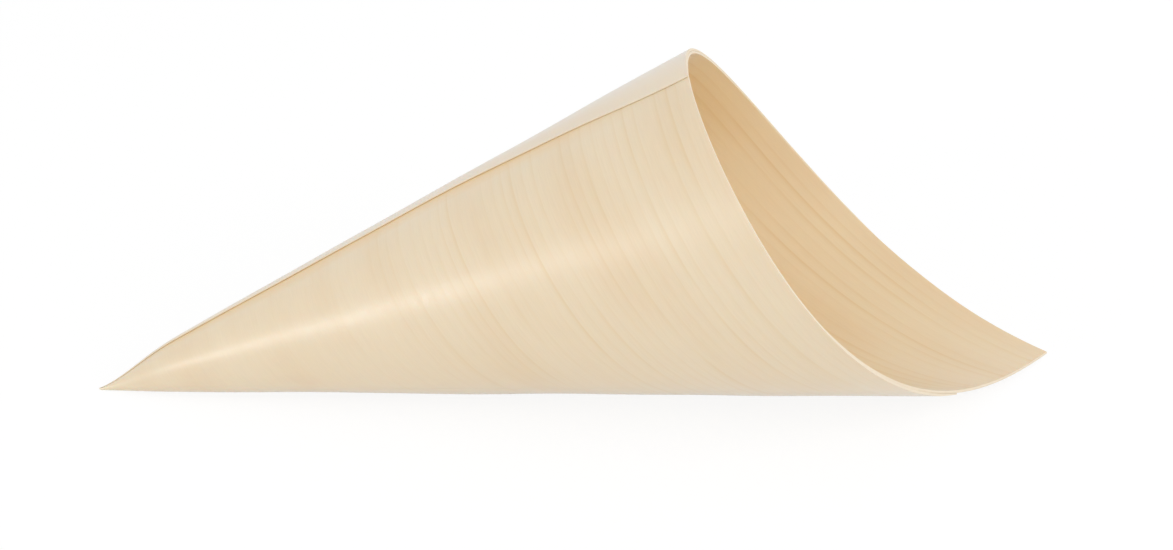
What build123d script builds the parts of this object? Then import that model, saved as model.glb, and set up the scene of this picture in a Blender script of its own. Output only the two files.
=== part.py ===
from build123d import *
import os
from math import asin, atan2, cos, degrees, hypot, pi, sin, tan

# A food cone of thin wood veneer. One oblong sheet, with its grain along its length, is rolled
# about the middle of one long edge. Two turns bring both ends of the sheet round to the same
# side, where its far corners meet in a pointed lip. The cone lies on that side, which is the
# heaviest, with its lap on top.

# The flat sheet, measured from the point that it is rolled about
sheet_width = 127.0       # across the grain, from the point to the mouth's edge
inner_length = 127.0      # along the grain, from the point to the end that lies inside
outer_length = 128.2      # along the grain, from the point to the end that lies outside
veneer = 0.5              # thickness of the sheet

# The outer end's corner is clipped, which leaves the lip a single layer
clip_along_mouth = 30.5
clip_along_end = 21.7

# The roll
half_turns = 4
turn_gap = 0.12           # air between one turn and the next
point_hole = 0.5          # width of the hole that is left at the point of the inner turn
point_reach = 0.6         # how far the outer turn's end stands out past the inner turn's point
pressed_flat = 0.12       # how far the line that the cone lies on is pressed flat

# How the sheet's cut edges are drawn
edge_steps = 16           # points along a cut, in each half turn
edge_margin = 3.0         # how far a cutting face reaches past both sides of the sheet

# The cone. The sheet spreads half a circle about its point, and the half turns share it out.
half_span = pi / half_turns
slant_share = half_span / pi            # sine of the cone's half angle
half_angle = asin(slant_share)
slope = tan(half_angle)
wall = veneer / cos(half_angle)
hole = point_hole / 2
full_height = (hypot(outer_length, sheet_width) + edge_margin) * cos(half_angle)

# From each half turn to the next, the cone's own point slips back along the line where they
# meet. So the roll runs smoothly on, and every turn lies just outside the one before it.
pitch = veneer + turn_gap
slip = pitch / (2 * slant_share * cos(half_angle))

# The flat sheet's straight cuts, each between two corners, along and across the grain
inner_corner = Vector(-inner_length, sheet_width)
mouth_corner = Vector(outer_length - clip_along_mouth, sheet_width)
end_corner = Vector(outer_length, sheet_width - clip_along_end)
cuts = [
    (Vector(-inner_length, 0), inner_corner),
    (inner_corner, mouth_corner),
    (end_corner, Vector(outer_length, 0)),
    (mouth_corner, end_corner),
]
cut_overrun = half_span / 2             # the angle that a cut runs on past its corners


def ruling(turn):
    """Direction of the cone's straight line at a turn about its axis."""
    return Vector(slant_share * cos(turn), slant_share * sin(turn), cos(half_angle))


def outward(turn):
    """Direction straight out of the cone's face at a turn about its axis."""
    return Vector(cos(half_angle) * cos(turn), cos(half_angle) * sin(turn), -slant_share)


def cut_face(cut, first, last, apex, flat_apex):
    """A face across the rolled sheet, along one straight cut of the flat one."""
    run = cut[1] - cut[0]
    lines = []
    for depth in (-edge_margin, veneer + edge_margin):
        points = []
        for step in range(-1, edge_steps + 2):
            angle = first + (last - first) * step / edge_steps
            toward = Vector(sin(angle), cos(angle))
            reach = (cut[0] - flat_apex).cross(run).Z / toward.cross(run).Z
            turn = angle / slant_share
            points.append(apex + reach * ruling(turn) + depth * outward(turn))
        lines.append(Edge.make_spline(points))
    return Face.make_surface_from_curves(*lines)


os.makedirs("parts", exist_ok=True)

# Half a turn of a sheet that has no outline yet
with BuildPart() as half_cone:
    with BuildSketch(Plane.XZ):
        Polygon(
            (hole, hole / slope),
            (full_height * slope, full_height),
            (full_height * slope + wall, full_height),
            (hole + wall, hole / slope),
            align=None,
        )
    revolve(axis=Axis.Z, revolution_arc=180)

# The roll, standing on its point: each half turn in its place, cut to the sheet's outline
start = -pi / 2
apex = Vector(0, 0, 0)
flat_apex = slip * Vector(-sin(half_span), cos(half_span) + 1 / 2)
with BuildPart() as roll:
    for half in range(half_turns):
        end = start + half_span
        with BuildPart(mode=Mode.PRIVATE) as half_turn:
            with Locations(Location(apex, (0, 0, degrees(start / slant_share)))):
                add(half_cone.part)
            for cut in cuts:
                first, last = (atan2(corner.X, corner.Y) for corner in cut)
                if first < end and last > start:
                    first = max(start, first - cut_overrun)
                    last = min(end, last + cut_overrun)
                    across = cut_face(cut, first, last, apex, flat_apex)
                    split(bisect_by=across, keep=Keep.TOP)
        add(half_turn.part)
        start = end
        apex -= slip * ruling(start / slant_share)
        flat_apex -= slip * Vector(sin(start), cos(start))
    split(bisect_by=Plane.XY.offset(-point_reach), keep=Keep.TOP)

# The cone laid down on the lip's side, with the line that it lies on pressed flat
lying = Plane(
    origin=(0, 0, 0),
    x_dir=(-slant_share, 0, cos(half_angle)),
    z_dir=(cos(half_angle), 0, slant_share),
)
with BuildPart() as laid:
    with Locations(lying):
        add(roll.part)
    ground = laid.part.bounding_box().min.Z + pressed_flat
    split(bisect_by=Plane.XY.offset(ground), keep=Keep.TOP)

# The cone as it lies, with the origin on the ground below its middle
box = laid.part.bounding_box()
with BuildPart() as veneer_cone:
    with Locations((-box.center().X, -box.center().Y, -box.min.Z)):
        add(laid.part)
veneer_cone.part.label = "veneer_cone"
export_step(veneer_cone.part, "parts/veneer_cone.step")
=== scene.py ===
from math import asin, cos, pi, radians, sin

import bpy
import numpy as np
from bpy.props import FloatProperty, FloatVectorProperty, IntProperty, PointerProperty
from mathutils import Matrix, Vector


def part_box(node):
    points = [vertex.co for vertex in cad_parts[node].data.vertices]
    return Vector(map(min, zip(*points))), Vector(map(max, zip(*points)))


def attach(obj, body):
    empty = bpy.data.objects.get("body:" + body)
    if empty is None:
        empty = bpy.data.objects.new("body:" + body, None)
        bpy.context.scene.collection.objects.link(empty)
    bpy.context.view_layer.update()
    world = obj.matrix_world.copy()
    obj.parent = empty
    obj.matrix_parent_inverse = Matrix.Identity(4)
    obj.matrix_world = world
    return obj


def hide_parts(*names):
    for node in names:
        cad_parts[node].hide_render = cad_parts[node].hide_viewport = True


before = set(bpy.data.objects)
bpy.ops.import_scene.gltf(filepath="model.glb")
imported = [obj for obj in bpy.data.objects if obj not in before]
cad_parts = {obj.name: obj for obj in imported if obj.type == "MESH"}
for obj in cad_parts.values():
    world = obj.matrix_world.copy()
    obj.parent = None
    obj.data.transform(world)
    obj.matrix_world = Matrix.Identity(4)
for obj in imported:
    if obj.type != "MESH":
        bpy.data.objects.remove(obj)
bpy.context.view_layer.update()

bl_info = {
    "name": "Veneer Food Cone",
    "version": (1, 0, 0),
    "blender": (4, 5, 0),
    "location": "View3D > Sidebar > Food Cone",
    "description": "Rolls a sheet of wood veneer into a food cone and sets the studio round it",
    "category": "Object",
}

NODE = "veneer_cone"
MILLIMETRES = 1000.0                  # in a metre

# The roll: four half turns share out the half circle that the sheet spreads about its point
HALF_TURNS = 4
HALF_SPAN = pi / HALF_TURNS
SLANT = HALF_SPAN / pi                # sine of the cone's half angle
HALF_ANGLE = asin(SLANT)
FIRST_ANGLE = -pi / 2
LAST_ANGLE = pi / 2
HALF_SLACK = 1e-9                     # share of a half turn by which an angle counts as the next one's
PINCH_POWER = 2.5                     # how suddenly the pressed point thins

# The sheet's outline
BOW_STEPS = 8                         # steps along a bowed cut
BOW_GAIN = 1.7                        # brings the bow of the outer end to its full size
PAST_POINT = 0.1                      # share of the width that the outer end runs on past the point
CLIP_CUT = slice(BOW_STEPS + 2, BOW_STEPS + 4)    # both ends of the clipped corner's cut
CUT_SLACK = 1e-6                      # share of a cut by which it runs on past its corners
LEAST_AREA = 1e-12                    # keeps lines that run side by side from dividing by zero

# The slow waves of the veneer, with lengths in millimetres
LONG_WAVE = 9.0
LONG_BEND, LONG_BEND_WIDTH = 1.1, 13.0
LONG_WIDTH, LONG_START = 17.0, 0.6
SHORT_SHARE = 0.6
SHORT_WAVE = 4.7
SHORT_LEAN, SHORT_START = 11.0, 2.0
SHORT_WIDTH, SHORT_SKEW = 8.0, 23.0
WAVE_FADE = 40.0                      # from the point, where the waves come up to full strength

# The mesh
ROW_CROWDING = 1.6                    # how much closer the rows stand towards the point
COLUMN_ROOM = 1.0 / 3.0               # share of a column that is kept free beside a corner
SHARP_ANGLE = radians(30.0)
UV_POINT = (0.5, 0.1)                 # where the point lies in the sheet's UV square
PLACE = "sheet_place"                 # attribute: along and across the grain, and depth
SHADE = "lap_shade"                   # attribute: how strongly the painted shade under the lap darkens the face

# The painted shade and warm bounce light under the lap, in metres along and across its edge
LAP_SHADE_START = 0.020
LAP_SHADE_END = 0.123
LAP_SHADE_FADE = 0.036
LAP_SHADE_WIDTH = 0.0042
LEAST_SHADE_WIDTH = 1e-6
LAP_SHADE_SPREAD = 0.09               # width against the distance from the point
LAP_SHADE_SHARE = 0.88                # strength at the edge

# The wood's figure. Sizes are along, across and through the sheet, in millimetres.
WANDER_SIZE = (110.0, 40.0, 40.0)
WANDER = 4.5                          # how far the grain wanders
BLOTCH_SIZE = (60.0, 13.0, 30.0)
BLOTCH_RANGE = (0.40, 0.75)
RINGS = ((2.1, 1.0, 3.2), (0.85, 0.2, 2.5))       # spacing, strength and sharpness
DRIFT_SIZE = (900.0, 4.0, 90.0)       # its width is in spacings
DRIFT = 1.6                           # how many spacings a ring drifts
RING_END = 0.84                       # share of a ring at which its line begins to end
FAINTEST_RING = 0.3
BREAK_SIZE = (34.0, 5.0, 30.0)
BREAK_RANGE = (0.32, 0.62)
BROKEN_LINE = 0.25                    # share of a line that is left where it breaks
LINE_RANGE = (28.0, 100.0)            # from the point, where the lines come up to full strength
POINT_LINES = 0.1                     # share of the lines that is left at the point
FIBRE_SIZE = (3.2, 0.2, 2.0)
FIBRE_RANGE = (0.3, 0.7)
FIBRE_LIGHT = (0.985, 1.015)
FIBRE_GLOSS_RANGE = (0.25, 0.75)

# The faces, with places on the sheet in metres
INSIDE_DEPTH = (0.000075, 0.00015)    # the step from the inner face to the outer one
OUTER_LINES, INNER_LINES = 0.8, 1.1   # strength of the grain lines
INSIDE_RANGE = (0.105, 0.178)         # from the point, where the painted shade inside grows fainter
INSIDE_LEFT = 0.4                     # share of the painted shade inside that is left at the mouth
INSIDE_ALONG = (0.0, 0.02)            # along the grain, where the painted shade inside ends
PAINTED_SHEEN_ACROSS = (0.004, 0.032)        # from the lap, where the painted sheen along the lap ends
PAINTED_SHEEN_ALONG = (0.030, 0.060)         # from the point, where the painted sheen along the lap begins
PAINTED_SHEEN_SHARE = 0.4
SMOOTHER, ROUGHER = 0.05, 0.09        # how far the fibres change the roughness
LINE_HOLLOW = 0.6                     # depth of the grain lines against that of the fibres
FACE_BUMP = {"Strength": 0.13, "Distance": 0.00006}

# The cut edges
CUT_LINES = 0.35
CUT_SHARE = 0.45                      # share of the fresh cut's colour
CUT_ROUGHNESS = (0.55, 0.75)
CUT_BUMP = {"Strength": 0.4, "Distance": 0.00008}

# The stage
SPECK_SCALE = 60.0
SPECK_RANGE = (0.3, 0.7)
SPECK_SHARE = 0.02
SPECK_GREY = 0.7
FLOOR_GAIN = 1.15                     # brings the floor back to white where no shadow falls
SENSOR_WIDTH = 36.0                   # in millimetres
NEAREST = 0.01                        # how near the camera sees


class VeneerSheet(bpy.types.PropertyGroup):
    """The flat sheet, measured from the point that it is rolled about."""

    width: FloatProperty(
        name="Width", default=0.127, unit="LENGTH", subtype="DISTANCE",
        description="Across the grain, from the point to the mouth's edge",
    )
    inner_length: FloatProperty(
        name="Inner Length", default=0.127, unit="LENGTH", subtype="DISTANCE",
        description="Along the grain, from the point to the end that lies inside",
    )
    outer_length: FloatProperty(
        name="Outer Length", default=0.1279, unit="LENGTH", subtype="DISTANCE",
        description="Along the grain, from the point to the end that lies outside",
    )
    thickness: FloatProperty(
        name="Thickness", default=0.0005, unit="LENGTH", subtype="DISTANCE",
        description="Thickness of the veneer",
    )
    clip_along_mouth: FloatProperty(
        name="Clip Along Mouth", default=0.0305, unit="LENGTH", subtype="DISTANCE",
        description="How much of the mouth's edge the clipped outer corner takes",
    )
    clip_along_end: FloatProperty(
        name="Clip Along End", default=0.0217, unit="LENGTH", subtype="DISTANCE",
        description="How much of the outer end the clipped corner takes",
    )
    inner_skew: FloatProperty(
        name="Inner Skew", default=0.0016, unit="LENGTH", subtype="DISTANCE",
        description="How far the inner end's cut draws back from square, at the lap",
    )
    mouth_bow: FloatProperty(
        name="Mouth Bow", default=0.0007, unit="LENGTH", subtype="DISTANCE",
        description="How far the mouth's edge bows out on the side that the inner end lies on",
    )
    lap_over: FloatProperty(
        name="Lap Over", default=0.0011, unit="LENGTH", subtype="DISTANCE",
        description="How far the lap reaches past the top line at the mouth",
    )
    lap_back: FloatProperty(
        name="Lap Back", default=radians(2.8), unit="ROTATION", subtype="ANGLE",
        description="How far the lap's cut draws back from the top line towards the point",
    )
    lap_bend: FloatProperty(
        name="Lap Bend", default=0.068, unit="LENGTH", subtype="DISTANCE",
        description="How far from the point the lap's cut begins to bend over the top line",
    )
    outer_skew: FloatProperty(
        name="Outer Skew", default=0.0005, unit="LENGTH", subtype="DISTANCE",
        description="How far the outer end's cut draws back from square, at the clipped corner",
    )
    outer_bow: FloatProperty(
        name="Outer Bow", default=0.0007, unit="LENGTH", subtype="DISTANCE",
        description="How far the outer end's cut bows out towards the clipped corner",
    )
    thin_edge: FloatProperty(
        name="Thin Edge", default=0.55, min=0.1, max=1.0, subtype="FACTOR",
        description="Share of its thickness that the sheet keeps at the lap and the clipped corner",
    )
    thin_width: FloatProperty(
        name="Thin Width", default=0.004, unit="LENGTH", subtype="DISTANCE",
        description="Width of the pressed border along the lap and the clipped corner",
    )
    soft_edge: FloatProperty(
        name="Soft Edge", default=0.00008, unit="LENGTH", subtype="DISTANCE",
        description="Width of the worn bevel along the cut edges",
    )


class ConeRoll(bpy.types.PropertyGroup):
    """How the sheet is rolled, pressed and sprung."""

    turn_gap: FloatProperty(
        name="Turn Gap", default=0.00003, unit="LENGTH", subtype="DISTANCE",
        description="Air between one turn and the next",
    )
    point_hole: FloatProperty(
        name="Point Hole", default=0.0005, unit="LENGTH", subtype="DISTANCE",
        description="Width of the hole at the point of the inner turn",
    )
    point_reach: FloatProperty(
        name="Point Reach", default=0.0006, unit="LENGTH", subtype="DISTANCE",
        description="How far the outer turn stands out past the inner turn's point",
    )
    pressed_flat: FloatProperty(
        name="Pressed Flat", default=0.00015, unit="LENGTH", subtype="DISTANCE",
        description="How far the line that the cone lies on is pressed flat",
    )
    pinch_length: FloatProperty(
        name="Pinch Length", default=0.016, unit="LENGTH", subtype="DISTANCE",
        description="Length of the point that is pressed thinner",
    )
    pinch_share: FloatProperty(
        name="Pinch Share", default=0.15, min=0.05, max=1.0, subtype="FACTOR",
        description="Share of its section that the pressed point keeps at its end",
    )
    sag: FloatProperty(
        name="Sag", default=0.009, min=0.0, max=0.1, subtype="FACTOR",
        description="Share of its height that the lying cone loses under its own weight",
    )
    ripple: FloatProperty(
        name="Ripple", default=0.0001, unit="LENGTH", subtype="DISTANCE",
        description="How far the veneer waves in and out",
    )
    columns: IntProperty(
        name="Columns", default=64, min=16,
        description="Steps round each half turn",
    )
    rows: IntProperty(
        name="Rows", default=56, min=16,
        description="Steps from the point to the mouth",
    )


class VeneerFinish(bpy.types.PropertyGroup):
    """Colours and gloss of the veneer."""

    pale: FloatVectorProperty(
        name="Pale Wood", default=(0.86, 0.72, 0.518), subtype="COLOR", min=0.0, max=1.0,
        description="Colour of the early wood",
    )
    # Painted shade and warm bounce light on the face that lies inside the cone
    inside: FloatVectorProperty(
        name="Inside Tint", default=(1.0, 0.92, 0.74), subtype="COLOR", min=0.0, max=1.0,
        description="Tint of the face that lies inside the cone",
    )
    # Painted sheen: the pale, cool reflection that the grazing strip along the lap shows, laid into
    # its colour
    painted_sheen_color: FloatVectorProperty(
        name="End Tint", default=(0.89, 0.78, 0.65), subtype="COLOR", min=0.0, max=1.0,
        description="Colour of the bleached border along the lap",
    )
    tan: FloatVectorProperty(
        name="Tan Wood", default=(0.84, 0.675, 0.462), subtype="COLOR", min=0.0, max=1.0,
        description="Colour of the broad darker bands",
    )
    line: FloatVectorProperty(
        name="Grain Line", default=(0.77, 0.56, 0.285), subtype="COLOR", min=0.0, max=1.0,
        description="Colour of the thin grain lines",
    )
    cut: FloatVectorProperty(
        name="Cut Edge", default=(0.87, 0.79, 0.67), subtype="COLOR", min=0.0, max=1.0,
        description="Colour of the fresh cut edges",
    )
    # Painted shade and warm bounce light under the lap, laid into the face's colour
    shade: FloatVectorProperty(
        name="Lap Shade", default=(0.86, 0.57, 0.22), subtype="COLOR", min=0.0, max=1.0,
        description="Colour that gathers under the lap",
    )
    roughness: FloatProperty(
        name="Roughness", default=0.36, min=0.0, max=1.0, subtype="FACTOR",
        description="Roughness of the sanded face",
    )
    specular: FloatProperty(
        name="Specular", default=0.85, min=0.0, max=1.0, subtype="FACTOR",
        description="Level of the face's sheen",
    )
    sheen: FloatProperty(
        name="Sheen", default=0.34, min=0.0, max=1.0, subtype="FACTOR",
        description="Pale sheen of the fine fibres, seen along the face",
    )
    sheen_roughness: FloatProperty(
        name="Sheen Roughness", default=0.35, min=0.0, max=1.0, subtype="FACTOR",
        description="How far the sheen spreads from the outline",
    )
    sheen_tint: FloatVectorProperty(
        name="Sheen Tint", default=(0.78, 0.87, 1.0), subtype="COLOR", min=0.0, max=1.0,
        description="Colour of the sheen",
    )
    glow: FloatProperty(
        name="Glow", default=0.35, min=0.0, max=1.0, subtype="FACTOR",
        description="How much of the light soaks into the thin wood",
    )
    glow_depth: FloatProperty(
        name="Glow Depth", default=0.0004, unit="LENGTH", subtype="DISTANCE",
        description="How deep the light soaks in",
    )
    glow_spread: FloatVectorProperty(
        name="Glow Spread", default=(1.0, 0.62, 0.36), min=0.0, max=1.0,
        description="How deep red, green and blue soak in against each other",
    )


class ConeStage(bpy.types.PropertyGroup):
    """The studio round the cone."""

    eye: FloatVectorProperty(
        name="Camera Place", default=(-0.01251, -0.38455, 0.25472), subtype="TRANSLATION",
        unit="LENGTH", description="Where the camera stands",
    )
    azimuth: FloatProperty(
        name="Azimuth", default=radians(-2.235), subtype="ANGLE", unit="ROTATION",
        description="How far the camera stands round from the front",
    )
    elevation: FloatProperty(
        name="Elevation", default=radians(31.25), subtype="ANGLE", unit="ROTATION",
        description="How far the camera looks down",
    )
    tilt: FloatProperty(
        name="Tilt", default=radians(-0.922), subtype="ANGLE", unit="ROTATION",
        description="How far the camera leans",
    )
    lens: FloatProperty(
        name="Lens", default=74.906, min=10.0, unit="CAMERA",
        description="Focal length in millimetres",
    )
    light_place: FloatVectorProperty(
        name="Light Place", default=(-0.74, -0.56, 0.28), subtype="TRANSLATION",
        unit="LENGTH", description="Where the soft box stands",
    )
    light_size: FloatProperty(
        name="Light Size", default=0.19, unit="LENGTH", subtype="DISTANCE",
        description="Width of the soft box",
    )
    light_power: FloatProperty(
        name="Light Power", default=1.32, min=0.0, unit="POWER",
        description="Power of the soft box in watts",
    )
    mouth_light_place: FloatVectorProperty(
        name="Mouth Light Place", default=(0.72, -0.34, 0.58), subtype="TRANSLATION",
        unit="LENGTH", description="Where the soft box stands that lights the mouth",
    )
    mouth_light_size: FloatProperty(
        name="Mouth Light Size", default=0.50, unit="LENGTH", subtype="DISTANCE",
        description="Width of the soft box that lights the mouth",
    )
    mouth_light_power: FloatProperty(
        name="Mouth Light Power", default=2.35, min=0.0, unit="POWER",
        description="Power of the soft box that lights the mouth, in watts",
    )
    ambient: FloatProperty(
        name="Room Light", default=0.74, min=0.0,
        description="Strength of the even light all round",
    )
    floor_width: FloatProperty(
        name="Floor Width", default=6.0, unit="LENGTH", subtype="DISTANCE",
        description="Width of the floor each way",
    )
    floor: FloatVectorProperty(
        name="Floor", default=(0.90, 0.90, 0.90), subtype="COLOR", min=0.0, max=1.0,
        description="Colour of the pale floor",
    )
    floor_glow: FloatProperty(
        name="Floor Glow", default=0.88, min=0.0, max=1.0, subtype="FACTOR",
        description="Share of the floor's white that shadows leave untouched",
    )


# The sheet's shape


def ease(share):
    """Rises from 0 to 1 with the share, with a level start and end."""
    share = np.clip(share, 0.0, 1.0)
    return share**2 * (3.0 - 2.0 * share)


def slow_ease(share):
    """Rises as ease does, with a slower start and end."""
    share = np.clip(share, 0.0, 1.0)
    return share**3 * (10.0 - 15.0 * share + 6.0 * share**2)


def cross(a, b):
    """Signed area between two flat vectors."""
    return a[..., 0] * b[..., 1] - a[..., 1] * b[..., 0]


def toward(angle):
    """Direction on the flat sheet, along and across the grain."""
    return np.stack([np.sin(angle), np.cos(angle)], -1)


def ruling(turn):
    """Direction of the cone's straight line at a turn about its axis."""
    climb = np.full_like(turn, cos(HALF_ANGLE))
    return np.stack([SLANT * np.cos(turn), SLANT * np.sin(turn), climb], -1)


def outward(turn):
    """Direction straight out of the cone's face at a turn about its axis."""
    flat = cos(HALF_ANGLE)
    return np.stack([flat * np.cos(turn), flat * np.sin(turn), np.full_like(turn, -SLANT)], -1)


def cone_points(sheet, roll):
    """The cone's own point in each half turn: in the standing roll, and on the flat sheet."""
    slip = (sheet.thickness + roll.turn_gap) / (2.0 * SLANT * cos(HALF_ANGLE))
    standing = np.zeros(3)
    flat = slip * np.array([-sin(HALF_SPAN), cos(HALF_SPAN) + 0.5])
    angle = FIRST_ANGLE
    in_roll, on_sheet = [], []
    for _ in range(HALF_TURNS):
        in_roll.append(standing)
        on_sheet.append(flat)
        angle += HALF_SPAN
        standing = standing - slip * ruling(angle / SLANT)
        flat = flat - slip * toward(angle)
    return np.array(in_roll), np.array(on_sheet)


def outline_corners(sheet):
    """The flat sheet's corners from its inner end round to its outer end."""
    share = np.linspace(1.0, 0.0, BOW_STEPS + 1)
    mouth = sheet.width + sheet.mouth_bow * np.sin(pi * share)
    bow = BOW_GAIN * share * np.sin(pi * share)
    end = sheet.outer_length - sheet.outer_skew * share + sheet.outer_bow * bow
    end_width = sheet.width - sheet.clip_along_end
    return np.array([
        (sheet.inner_skew - sheet.inner_length, 0.0),
        *np.column_stack([-sheet.inner_length * share, mouth]),
        (sheet.outer_length - sheet.clip_along_mouth, sheet.width),
        *np.column_stack([end, end_width * share]),
        (sheet.outer_length, -sheet.width * PAST_POINT),
    ])


def half_of(angles):
    """Which half turn an angle of the flat sheet lies in."""
    half = np.floor((angles - FIRST_ANGLE) / HALF_SPAN + HALF_SLACK).astype(int)
    return np.clip(half, 0, HALF_TURNS - 1)


def column_angles(sheet, roll, on_sheet):
    """Angles of the mesh's columns, with one on every corner of the outline."""
    even = np.linspace(FIRST_ANGLE, LAST_ANGLE, HALF_TURNS * roll.columns + 1)
    corners = []
    for corner in outline_corners(sheet)[1:-1]:
        for half in range(HALF_TURNS):
            along, across = corner - on_sheet[half]
            angle = np.arctan2(along, across)
            start = FIRST_ANGLE + half * HALF_SPAN
            if start <= angle < start + HALF_SPAN:
                corners.append(angle)
    room = COLUMN_ROOM * (even[1] - even[0])
    clear = np.min(np.abs(even[:, None] - np.array(corners)[None, :]), axis=1) > room
    clear |= np.isclose(even % HALF_SPAN, 0.0) | np.isclose(even % HALF_SPAN, HALF_SPAN)
    return np.sort(np.concatenate([even[clear], corners]))


def outline_reach(angles, sheet, on_sheet):
    """How far the sheet reaches from the cone's own point at each angle."""
    corners = outline_corners(sheet)
    origin = on_sheet[half_of(angles)]
    aim = toward(angles)
    reach = np.full(len(angles), np.inf)
    for start, end in zip(corners, corners[1:]):
        run = end - start
        area = cross(aim, run)
        area = np.where(np.abs(area) > LEAST_AREA, area, LEAST_AREA)
        out = cross(start - origin, run) / area
        share = cross(start - origin, aim) / area
        on_cut = (share > -CUT_SLACK) & (share < 1.0 + CUT_SLACK) & (out > 0.0)
        reach = np.where(on_cut, np.minimum(reach, out), reach)
    return reach


def wave(point):
    """Slow waves over the veneer, alike in all turns, which fade at the point."""
    x, y, z = np.moveaxis(point, -1, 0) * MILLIMETRES
    long = np.sin(z / LONG_WAVE + LONG_BEND * np.sin(y / LONG_BEND_WIDTH))
    long = long * np.cos(x / LONG_WIDTH + LONG_START)
    short = SHORT_SHARE * np.sin(z / SHORT_WAVE + y / SHORT_LEAN + SHORT_START)
    short = short * np.cos(x / SHORT_WIDTH - y / SHORT_SKEW)
    return (long + short) * np.clip(z / WAVE_FADE, 0.0, 1.0)


class RolledSheet:
    """Places points of the flat sheet in the rolled and lying cone."""

    def __init__(self, sheet, roll):
        self.sheet = sheet
        self.roll = roll
        self.in_roll, self.on_sheet = cone_points(sheet, roll)
        self.low, self.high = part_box(NODE)
        self.shift = np.zeros(3)

    def flat(self, angles, reach):
        """Along and across the grain."""
        return self.on_sheet[half_of(angles)] + reach[..., None] * toward(angles)

    def start_reach(self, angles):
        """Where the sheet begins, near the point."""
        hole = self.roll.point_hole / 2.0 / SLANT
        height = hole * cos(HALF_ANGLE)
        drop = slow_ease((angles - FIRST_ANGLE) / HALF_SPAN - 1.0)
        begin = height - (height + self.roll.point_reach) * drop
        own = self.in_roll[half_of(angles)][..., 2]
        return np.maximum((begin - own) / cos(HALF_ANGLE), hole)

    def lap_angle(self, reach):
        """Angle of the lap's edge at a reach from the last half turn's point."""
        sheet = self.sheet
        over = sheet.lap_over / sheet.outer_length
        share = (sheet.outer_length - reach) / (sheet.outer_length - sheet.lap_bend)
        return LAST_ANGLE + over - (over + sheet.lap_back) * ease(share)

    def to_lap(self, angles, reach):
        """The angles of the last half turn, drawn in so that they end at the lap's edge."""
        begin = LAST_ANGLE - HALF_SPAN
        share = np.clip((angles - begin) / HALF_SPAN, 0.0, 1.0)
        return np.where(angles > begin, begin + (self.lap_angle(reach) - begin) * share, angles)

    def pressed(self, angles, reach):
        """Share of its thickness that the sheet keeps at a point."""
        sheet = self.sheet
        start, end = outline_corners(sheet)[CLIP_CUT]
        run = (end - start) / np.hypot(*(end - start))
        to_clip = cross(self.flat(angles, reach) - start, run)
        to_lap = reach * (self.lap_angle(reach) - angles)
        share = np.minimum(to_clip, to_lap) / sheet.thin_width
        return sheet.thin_edge + (1.0 - sheet.thin_edge) * ease(share)

    def under_lap(self, angles, reach):
        """How strongly the painted shade under the lap darkens a point of the face that it lies on,
        from 0 to 1.
        """
        across = reach * (angles + LAST_ANGLE - self.lap_angle(reach))
        width = np.clip(reach * LAP_SHADE_SPREAD, LEAST_SHADE_WIDTH, LAP_SHADE_WIDTH)
        shade = LAP_SHADE_SHARE * np.clip(1.0 - across / width, 0.0, 1.0)
        shade = shade * np.clip(reach / LAP_SHADE_START, 0.0, 1.0)
        shade = shade * np.clip((LAP_SHADE_END - reach) / LAP_SHADE_FADE, 0.0, 1.0)
        beside = (angles > -HALF_SPAN / 2.0) & (angles < HALF_SPAN)
        return np.where(beside, shade, 0.0)

    def lying(self, angles, reach, depth, ripple):
        """The rolled cone as it lies, before it is set on its place."""
        turn = angles / SLANT
        point = self.in_roll[half_of(angles)] + reach[..., None] * ruling(turn)
        climb = depth + ripple * wave(point)
        x, y, z = np.moveaxis(point + climb[..., None] * outward(turn), -1, 0)
        return np.stack([
            z * cos(HALF_ANGLE) - x * SLANT,
            -y,
            z * SLANT + x * cos(HALF_ANGLE),
        ], -1)

    def settle(self, angles, start, end):
        """Finds the place on the solid that the cone stands for."""
        spread = np.column_stack([angles, angles])
        reach = np.column_stack([start, end])
        faces = np.zeros(reach.shape), np.full(reach.shape, self.sheet.thickness)
        ends = np.concatenate([self.lying(spread, reach, depth, 0.0) for depth in faces])
        bottom, top = ends.min(axis=(0, 1)), ends.max(axis=(0, 1))
        self.shift = np.array([
            self.high.x - top[0],
            (self.low.y + self.high.y - top[1] - bottom[1]) / 2.0,
            self.low.z - bottom[2] - self.roll.pressed_flat,
        ])

    def place(self, angles, reach, depth):
        """The finished cone: set on its place, its point pressed and its bed flat."""
        point = self.lying(angles, reach, depth, self.roll.ripple) + self.shift
        slack = 1.0 - np.clip((point[..., 0] - self.low.x) / self.roll.pinch_length, 0.0, 1.0)
        section = 1.0 - (1.0 - self.roll.pinch_share) * slack**PINCH_POWER
        middle = self.shift[1]
        side = middle + (point[..., 1] - middle) * section
        point[..., 1] = np.clip(side, self.low.y, self.high.y)
        height = np.maximum(point[..., 2] * section, 0.0)
        point[..., 2] = height * (1.0 - self.roll.sag * height / self.high.z)
        return point


def border_ring(columns, rows):
    """Columns and rows of the grid's border, once round."""
    ring = [(i, 0) for i in range(columns)]
    ring += [(columns - 1, j) for j in range(1, rows)]
    ring += [(i, rows - 1) for i in range(columns - 2, -1, -1)]
    ring += [(0, j) for j in range(rows - 2, 0, -1)]
    return tuple(np.array(ring).T)


def sheet_faces(columns, rows, ring):
    """Corners of the mesh's faces: those of the inner and the outer face, and of the cut edges."""
    count = columns * rows
    grid = np.arange(count).reshape(columns, rows)
    a, b, c, d = grid[:-1, :-1], grid[1:, :-1], grid[1:, 1:], grid[:-1, 1:]
    inner = np.stack([a, b, c, d], -1).reshape(-1, 4)
    outer = inner[:, ::-1] + count
    border = grid[ring]
    bevel = 2 * count + np.arange(len(border))
    lines = [border, bevel, bevel + len(border), border + count]
    edges = [
        np.stack([np.roll(under, -1), under, over, np.roll(over, -1)], -1)
        for under, over in zip(lines, lines[1:])
    ]
    return np.concatenate([inner, outer]), np.concatenate(edges)


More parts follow.
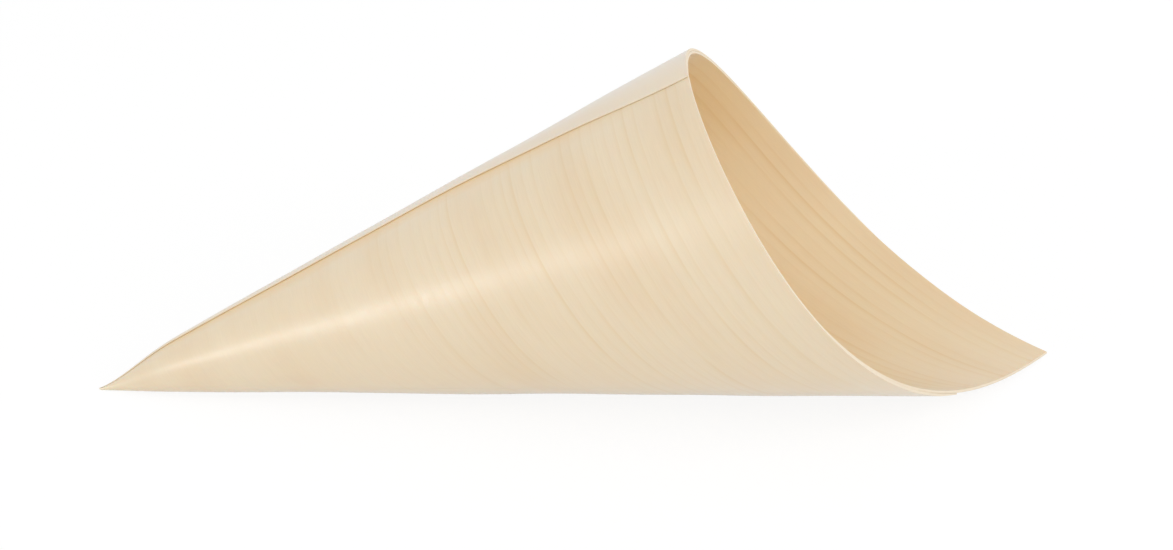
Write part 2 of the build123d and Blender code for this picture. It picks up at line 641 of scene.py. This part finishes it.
def keep_place(mesh, on_flat, lap, length):
    """Keeps each point's place on the flat sheet, its painted lap shade and its UV on the mesh."""
    place = mesh.attributes.new(PLACE, "FLOAT_VECTOR", "POINT")
    place.data.foreach_set("vector", on_flat.astype(np.float32).ravel())
    shade = mesh.attributes.new(SHADE, "FLOAT", "POINT")
    shade.data.foreach_set("value", lap.astype(np.float32))
    layer = mesh.uv_layers.new(name="sheet")
    corner = np.zeros(len(mesh.loops), np.int32)
    mesh.loops.foreach_get("vertex_index", corner)
    flat_uv = on_flat[:, :2] / length + UV_POINT
    layer.data.foreach_set("uv", flat_uv[corner].astype(np.float32).ravel())


def sheet_mesh(sheet, roll):
    """The rolled sheet as one closed mesh."""
    rolled = RolledSheet(sheet, roll)
    angles = column_angles(sheet, roll, rolled.on_sheet)
    start = rolled.start_reach(angles)
    end = outline_reach(angles, sheet, rolled.on_sheet)
    rolled.settle(angles, start, end)

    columns, rows = len(angles), roll.rows + 1
    shares = np.linspace(0.0, 1.0, rows) ** ROW_CROWDING
    reach = start[:, None] + (end - start)[:, None] * shares[None, :]
    spread = rolled.to_lap(np.repeat(angles[:, None], rows, axis=1), reach)
    ring = border_ring(columns, rows)

    # The faces stop short of the cut edges by the width of their soft bevel
    soft = sheet.soft_edge
    inset_reach = reach.copy()
    inset_reach[:, 0] += soft
    inset_reach[:, -1] -= soft
    inset_angle = spread.copy()
    inset_angle[0] += soft / np.maximum(reach[0], soft)
    inset_angle[-1] -= soft / np.maximum(reach[-1], soft)

    # Both faces, then both lines of the bevel, each with its share of the thickness and its inset
    layers = [
        (inset_angle.ravel(), inset_reach.ravel(), 0.0, 0.0),
        (inset_angle.ravel(), inset_reach.ravel(), 1.0, 0.0),
        (spread[ring], reach[ring], 0.0, soft),
        (spread[ring], reach[ring], 1.0, -soft),
    ]
    points, on_flat, lap = [], [], []
    for angle, out, share, inset in layers:
        depth = share * sheet.thickness * rolled.pressed(angle, out) + inset
        points.append(rolled.place(angle, out, depth))
        on_flat.append(np.column_stack([rolled.flat(angle, out), depth]))
        # Painted shade under the lap, on the outer face only
        lap.append(rolled.under_lap(angle, out) * share)

    sides, edges = sheet_faces(columns, rows, ring)
    faces = np.concatenate([sides, edges])
    mesh = bpy.data.meshes.new("veneer_sheet")
    mesh.from_pydata(np.concatenate(points).tolist(), [], faces.tolist())
    mesh.polygons.foreach_set("use_smooth", np.ones(len(faces), bool))
    material = np.zeros(len(faces), np.int32)
    material[len(sides):] = 1
    mesh.polygons.foreach_set("material_index", material)
    length = sheet.inner_length + sheet.outer_length
    keep_place(mesh, np.concatenate(on_flat), np.concatenate(lap), length)
    mesh.set_sharp_from_angle(angle=SHARP_ANGLE)
    mesh.validate()
    mesh.update()
    return mesh


# The veneer's finish


class NodeBench:
    """Adds nodes to a tree and joins them up."""

    def __init__(self, tree):
        self.tree = tree

    def add(self, kind, inputs=(), **settings):
        """A new node, with its settings made and its inputs fed."""
        node = self.tree.nodes.new(kind)
        for name, value in settings.items():
            setattr(node, name, value)
        for name, value in dict(inputs).items():
            self.feed(node.inputs[name], value)
        return node

    def feed(self, socket, value):
        """Joins a socket to another one, or sets its own value."""
        if isinstance(value, bpy.types.NodeSocket):
            self.tree.links.new(value, socket)
        else:
            socket.default_value = value

    def math(self, operation, a, b=0.0, clamp=False):
        """One operation on one or two values."""
        node = self.add("ShaderNodeMath", {0: a, 1: b}, operation=operation, use_clamp=clamp)
        return node.outputs[0]

    def times(self, a, b, clamp=False):
        """One value times another."""
        return self.math("MULTIPLY", a, b, clamp)

    def mix(self, share, a, b, blend="MIX"):
        """Two colours, mixed by a share of the second."""
        node = self.add("ShaderNodeMix", data_type="RGBA", blend_type=blend, clamp_factor=True)
        self.feed(node.inputs["Factor"], share)
        self.feed(node.inputs[6], a)
        self.feed(node.inputs[7], b)
        return node.outputs[2]

    def stretched(self, place, along, across, through):
        """The place on the sheet, with lengths along, across and through the grain taken as one."""
        scale = (1.0 / along, 1.0 / across, 1.0 / through)
        node = self.add("ShaderNodeVectorMath", {0: place, 1: scale}, operation="MULTIPLY")
        return node.outputs[0]

    def noise(self, place, scale=1.0, detail=2.0, roughness=0.5):
        """Soft noise from 0 to 1."""
        node = self.add("ShaderNodeTexNoise", {
            "Vector": place, "Scale": scale, "Detail": detail, "Roughness": roughness,
        })
        return node.outputs["Fac"]

    def ramp(self, value, low, high, to_low=0.0, to_high=1.0):
        """A value that goes smoothly from to_low to to_high between two limits."""
        node = self.add("ShaderNodeMapRange", {
            "Value": value, "From Min": low, "From Max": high,
            "To Min": to_low, "To Max": to_high,
        }, interpolation_type="SMOOTHSTEP")
        return node.outputs["Result"]


def clear_bench(owner):
    """The bench of a material or a world, with nothing on it yet."""
    owner.use_nodes = True
    owner.node_tree.nodes.clear()
    return NodeBench(owner.node_tree)


def new_group(name, inputs, outputs):
    """An empty shader node group with its sockets, and its bench, start and end."""
    group = bpy.data.node_groups.new(name, "ShaderNodeTree")
    for socket, kind in inputs:
        group.interface.new_socket(name=socket, in_out="INPUT", socket_type=kind)
    for socket, kind in outputs:
        group.interface.new_socket(name=socket, in_out="OUTPUT", socket_type=kind)
    bench = NodeBench(group)
    start = bench.add("NodeGroupInput")
    end = bench.add("NodeGroupOutput")
    return group, bench, start, end


def ring_lines(bench, place, across, spacing, share, sharpness):
    """Growth rings of one spacing: each darkens slowly and ends in a thin line."""
    length, width, depth = DRIFT_SIZE
    drift = bench.noise(bench.stretched(place, length, width * spacing, depth))
    phase = bench.math("ADD", bench.math("DIVIDE", across, spacing), bench.times(drift, DRIFT))
    within = bench.math("FRACT", phase)
    ring = bench.math("FLOOR", phase)
    own = bench.add("ShaderNodeTexWhiteNoise", {"W": ring}, noise_dimensions="1D").outputs["Value"]
    line = bench.math("POWER", within, sharpness)
    line = bench.times(line, bench.ramp(within, RING_END, 1.0, 1.0, 0.0))
    return bench.times(line, bench.ramp(own, 0.0, 1.0, FAINTEST_RING * share, share))


def veneer_figure():
    """The wood's figure over the flat sheet: bands, thin lines and fibres along the grain."""
    group, bench, start, end = new_group(
        "veneer_figure",
        [
            ("Sheet Place", "NodeSocketVector"),
            ("Pale", "NodeSocketColor"),
            ("Tan", "NodeSocketColor"),
            ("Line", "NodeSocketColor"),
            ("Line Strength", "NodeSocketFloat"),
        ],
        [
            ("Color", "NodeSocketColor"),
            ("Lines", "NodeSocketFloat"),
            ("Fibre", "NodeSocketFloat"),
        ],
    )
    scale = (MILLIMETRES, MILLIMETRES, MILLIMETRES)
    place = bench.add("ShaderNodeVectorMath", {0: start.outputs["Sheet Place"], 1: scale},
                      operation="MULTIPLY").outputs[0]

    # The grain wanders a little across the sheet
    wander = bench.noise(bench.stretched(place, *WANDER_SIZE), detail=1.0)
    wander = bench.times(bench.math("SUBTRACT", wander, 0.5), WANDER)
    across = bench.add("ShaderNodeSeparateXYZ", {0: place}).outputs["Y"]
    across = bench.math("ADD", across, wander)

    # Slow blotches of paler and darker wood
    blotch = bench.noise(bench.stretched(place, *BLOTCH_SIZE), detail=3.0)
    blotch = bench.ramp(blotch, *BLOTCH_RANGE)
    color = bench.mix(blotch, start.outputs["Pale"], start.outputs["Tan"])

    # Thin lines of the growth rings, which break here and there and grow fainter at the point
    broad, fine = (ring_lines(bench, place, across, *ring) for ring in RINGS)
    line = bench.math("MAXIMUM", broad, fine)
    broken = bench.noise(bench.stretched(place, *BREAK_SIZE))
    line = bench.times(line, bench.ramp(broken, *BREAK_RANGE, BROKEN_LINE, 1.0))
    line = bench.times(line, bench.ramp(across, *LINE_RANGE, POINT_LINES, 1.0))
    line = bench.times(line, start.outputs["Line Strength"], clamp=True)
    color = bench.mix(line, color, start.outputs["Line"])

    # Fibres
    fibre = bench.noise(bench.stretched(place, *FIBRE_SIZE), detail=3.0, roughness=0.6)
    light = bench.ramp(fibre, *FIBRE_RANGE, *FIBRE_LIGHT)
    lit = bench.add("ShaderNodeVectorMath", {0: color, "Scale": light}, operation="SCALE")
    bench.feed(end.inputs["Color"], lit.outputs[0])
    bench.feed(end.inputs["Lines"], line)
    bench.feed(end.inputs["Fibre"], fibre)
    return group


def new_material(name):
    """A node material with only its principled shader, its bench and that shader."""
    material = bpy.data.materials.new(name)
    bench = clear_bench(material)
    shader = bench.add("ShaderNodeBsdfPrincipled")
    output = bench.add("ShaderNodeOutputMaterial")
    bench.feed(output.inputs["Surface"], shader.outputs["BSDF"])
    return material, bench, shader


def opaque(color):
    """A colour with full alpha."""
    return (*color, 1.0)


def grey(level):
    """A grey with full alpha."""
    return (level, level, level, 1.0)


def sheet_place(bench):
    """The place on the flat sheet that the mesh keeps."""
    return bench.add("ShaderNodeAttribute", attribute_name=PLACE).outputs["Vector"]


def figure_node(bench, group, finish, place, lines):
    """The wood's figure, placed by the flat sheet."""
    node = bench.add("ShaderNodeGroup", node_tree=group)
    bench.feed(node.inputs["Sheet Place"], place)
    bench.feed(node.inputs["Pale"], opaque(finish.pale))
    bench.feed(node.inputs["Tan"], opaque(finish.tan))
    bench.feed(node.inputs["Line"], opaque(finish.line))
    bench.feed(node.inputs["Line Strength"], lines)
    return node


def face_material(finish, group):
    """The sanded faces of the veneer."""
    material, bench, shader = new_material("veneer_face")
    place = sheet_place(bench)
    along, across, depth = bench.add("ShaderNodeSeparateXYZ", {0: place}).outputs
    inner_face = bench.ramp(depth, *INSIDE_DEPTH, 1.0, 0.0)
    lines = bench.ramp(inner_face, 0.0, 1.0, OUTER_LINES, INNER_LINES)
    figure = figure_node(bench, group, finish, place, lines)
    wood, fibre = figure.outputs["Color"], figure.outputs["Fibre"]

    # Painted shade and warm bounce light: the inside is darker and warmer, most of all towards the
    # point
    out = bench.add("ShaderNodeVectorMath", {0: place}, operation="LENGTH").outputs["Value"]
    inside = bench.times(inner_face, bench.ramp(out, *INSIDE_RANGE, 1.0, INSIDE_LEFT))
    inside = bench.times(inside, bench.ramp(along, *INSIDE_ALONG, 1.0, 0.0))
    wood = bench.mix(inside, wood, bench.mix(1.0, wood, opaque(finish.inside), "MULTIPLY"))

    # Painted sheen along the lap: its border is paler and cooler. Painted shade and warm bounce light
    # lie on the face under the lap
    painted_sheen = bench.ramp(across, *PAINTED_SHEEN_ACROSS, PAINTED_SHEEN_SHARE, 0.0)
    painted_sheen = bench.times(painted_sheen, bench.ramp(along, *PAINTED_SHEEN_ALONG))
    wood = bench.mix(painted_sheen, wood, opaque(finish.painted_sheen_color))
    shade = bench.add("ShaderNodeAttribute", attribute_name=SHADE).outputs["Fac"]
    wood = bench.mix(shade, wood, opaque(finish.shade))
    bench.feed(shader.inputs["Base Color"], wood)

    # Gloss and sheen
    low, high = finish.roughness - SMOOTHER, finish.roughness + ROUGHER
    roughness = bench.ramp(fibre, *FIBRE_GLOSS_RANGE, low, high)
    bench.feed(shader.inputs["Roughness"], roughness)
    bench.feed(shader.inputs["Specular IOR Level"], finish.specular)
    bench.feed(shader.inputs["Sheen Weight"], finish.sheen)
    bench.feed(shader.inputs["Sheen Roughness"], finish.sheen_roughness)
    bench.feed(shader.inputs["Sheen Tint"], opaque(finish.sheen_tint))

    # Light soaks into the thin wood
    bench.feed(shader.inputs["Subsurface Weight"], finish.glow)
    bench.feed(shader.inputs["Subsurface Scale"], finish.glow_depth)
    bench.feed(shader.inputs["Subsurface Radius"], tuple(finish.glow_spread))

    # Raised fibres and hollow grain lines
    hollow = bench.times(figure.outputs["Lines"], LINE_HOLLOW)
    height = bench.math("SUBTRACT", fibre, hollow)
    bump = bench.add("ShaderNodeBump", {"Height": height, **FACE_BUMP})
    bench.feed(shader.inputs["Normal"], bump.outputs["Normal"])
    return material


def cut_material(finish, group):
    """The cut edges of the veneer, paler and rougher than its faces."""
    material, bench, shader = new_material("veneer_cut_edge")
    figure = figure_node(bench, group, finish, sheet_place(bench), CUT_LINES)
    color = bench.mix(CUT_SHARE, figure.outputs["Color"], opaque(finish.cut))
    bench.feed(shader.inputs["Base Color"], color)
    fibre = figure.outputs["Fibre"]
    roughness = bench.ramp(fibre, *FIBRE_GLOSS_RANGE, *CUT_ROUGHNESS)
    bench.feed(shader.inputs["Roughness"], roughness)
    bump = bench.add("ShaderNodeBump", {"Height": fibre, **CUT_BUMP})
    bench.feed(shader.inputs["Normal"], bump.outputs["Normal"])
    return material


# The stage


def white_to_camera(bench):
    """1 for what the camera sees, straight or in a reflection, and 0 for light that is passed on."""
    path = bench.add("ShaderNodeLightPath").outputs
    seen = bench.math("MAXIMUM", path["Is Camera Ray"], path["Is Glossy Ray"])
    return bench.math("MAXIMUM", seen, path["Is Transmission Ray"])


def floor_material(stage):
    """A pale floor that looks white and keeps the object's shadow."""
    material = bpy.data.materials.new("pale_floor")
    bench = clear_bench(material)
    speck = bench.noise(bench.add("ShaderNodeTexCoord").outputs["Object"], scale=SPECK_SCALE)
    speck = bench.ramp(speck, *SPECK_RANGE, 0.0, SPECK_SHARE)
    tint = bench.mix(speck, opaque(stage.floor), grey(SPECK_GREY))
    plain = bench.add("ShaderNodeBsdfDiffuse", {"Color": tint}).outputs[0]
    left = grey(FLOOR_GAIN * (1.0 - stage.floor_glow))
    shadow = bench.add("ShaderNodeBsdfDiffuse", {"Color": left}).outputs[0]
    glow = bench.add("ShaderNodeEmission", {"Strength": stage.floor_glow}).outputs[0]
    seen = bench.add("ShaderNodeAddShader", {0: shadow, 1: glow}).outputs[0]
    mixed = bench.add("ShaderNodeMixShader", {0: white_to_camera(bench), 1: plain, 2: seen})
    output = bench.add("ShaderNodeOutputMaterial")
    bench.feed(output.inputs["Surface"], mixed.outputs[0])
    return material


def lay_floor(scene, stage):
    """The floor that the cone lies on."""
    half = stage.floor_width / 2.0
    corners = [(-half, -half, 0.0), (half, -half, 0.0), (half, half, 0.0), (-half, half, 0.0)]
    mesh = bpy.data.meshes.new("floor")
    mesh.from_pydata(corners, [], [(0, 1, 2, 3)])
    mesh.materials.append(floor_material(stage))
    floor = bpy.data.objects.new("floor", mesh)
    scene.collection.objects.link(floor)


def light_room(scene, stage):
    """Even light all round, which looks white to the camera."""
    world = bpy.data.worlds.new("studio")
    bench = clear_bench(world)
    strength = bench.ramp(white_to_camera(bench), 0.0, 1.0, stage.ambient, 1.0)
    light = bench.add("ShaderNodeBackground", {"Color": grey(1.0), "Strength": strength})
    output = bench.add("ShaderNodeOutputWorld")
    bench.feed(output.inputs["Surface"], light.outputs[0])
    scene.world = world


def hang_soft_box(scene, name, place, size, power):
    """A round soft box that faces the cone."""
    lamp = bpy.data.lights.new(name, "AREA")
    lamp.shape = "DISK"
    lamp.size = size
    lamp.energy = power
    box = bpy.data.objects.new(name, lamp)
    place = Vector(place)
    turn = place.to_track_quat("Z", "Y").to_matrix().to_4x4()
    box.matrix_world = Matrix.Translation(place) @ turn
    scene.collection.objects.link(box)


def camera_matrix(stage):
    """The camera's place and turn."""
    azimuth, elevation, tilt = stage.azimuth, stage.elevation, stage.tilt
    back = Vector((sin(azimuth) * cos(elevation), -cos(azimuth) * cos(elevation), sin(elevation)))
    level = Vector((cos(azimuth), sin(azimuth), 0.0))
    upright = back.cross(level)
    right = cos(tilt) * level + sin(tilt) * upright
    up = cos(tilt) * upright - sin(tilt) * level
    turn = Matrix((right, up, back)).transposed().to_4x4()
    return Matrix.Translation(stage.eye) @ turn


def set_camera(scene, stage):
    """The camera at the angle that the cone is shown from."""
    lens = bpy.data.cameras.new("camera")
    lens.sensor_fit = "HORIZONTAL"
    lens.sensor_width = SENSOR_WIDTH
    lens.lens = stage.lens
    lens.clip_start = NEAREST
    camera = bpy.data.objects.new("camera", lens)
    camera.matrix_world = camera_matrix(stage)
    scene.collection.objects.link(camera)
    scene.camera = camera


class FOODCONE_OT_roll(bpy.types.Operator):
    """Roll the veneer sheet into the cone."""

    bl_idname = "food_cone.roll"
    bl_label = "Roll Veneer Cone"

    def execute(self, context):
        scene = context.scene
        mesh = sheet_mesh(scene.veneer_sheet, scene.cone_roll)
        group = veneer_figure()
        mesh.materials.append(face_material(scene.veneer_finish, group))
        mesh.materials.append(cut_material(scene.veneer_finish, group))
        cone = bpy.data.objects.new("rolled_veneer", mesh)
        scene.collection.objects.link(cone)
        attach(cone, "root")
        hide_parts(NODE)
        return {"FINISHED"}


class FOODCONE_OT_stage(bpy.types.Operator):
    """Set the floor, the light and the camera."""

    bl_idname = "food_cone.stage"
    bl_label = "Set Stage"

    def execute(self, context):
        scene = context.scene
        stage = scene.cone_stage
        lay_floor(scene, stage)
        light_room(scene, stage)
        hang_soft_box(scene, "soft_box", stage.light_place, stage.light_size, stage.light_power)
        hang_soft_box(scene, "mouth_soft_box", stage.mouth_light_place, stage.mouth_light_size,
                      stage.mouth_light_power)
        set_camera(scene, stage)
        scene.view_settings.view_transform = "Standard"
        return {"FINISHED"}


class FOODCONE_PT_sidebar(bpy.types.Panel):
    """The cone's sizes, finish and stage."""

    bl_idname = "FOODCONE_PT_sidebar"
    bl_label = "Food Cone"
    bl_space_type = "VIEW_3D"
    bl_region_type = "UI"
    bl_category = "Food Cone"

    def draw(self, context):
        for group in GROUPS:
            box = self.layout.box()
            box.label(text=group.replace("_", " ").title())
            settings = getattr(context.scene, group)
            for name in settings.__annotations__:
                box.prop(settings, name)
        self.layout.operator(FOODCONE_OT_roll.bl_idname)
        self.layout.operator(FOODCONE_OT_stage.bl_idname)


GROUPS = {
    "veneer_sheet": VeneerSheet,
    "cone_roll": ConeRoll,
    "veneer_finish": VeneerFinish,
    "cone_stage": ConeStage,
}
CLASSES = (*GROUPS.values(), FOODCONE_OT_roll, FOODCONE_OT_stage, FOODCONE_PT_sidebar)


def register():
    """Registers the classes and gives the scene its settings."""
    for item in CLASSES:
        bpy.utils.register_class(item)
    for name, group in GROUPS.items():
        setattr(bpy.types.Scene, name, PointerProperty(type=group))


def unregister():
    """Takes the settings and the classes away again."""
    for name in GROUPS:
        delattr(bpy.types.Scene, name)
    for item in reversed(CLASSES):
        bpy.utils.unregister_class(item)


def main():
    """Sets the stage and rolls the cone."""
    register()
    bpy.ops.food_cone.stage()
    bpy.ops.food_cone.roll()


if __name__ == "__main__":
    main()
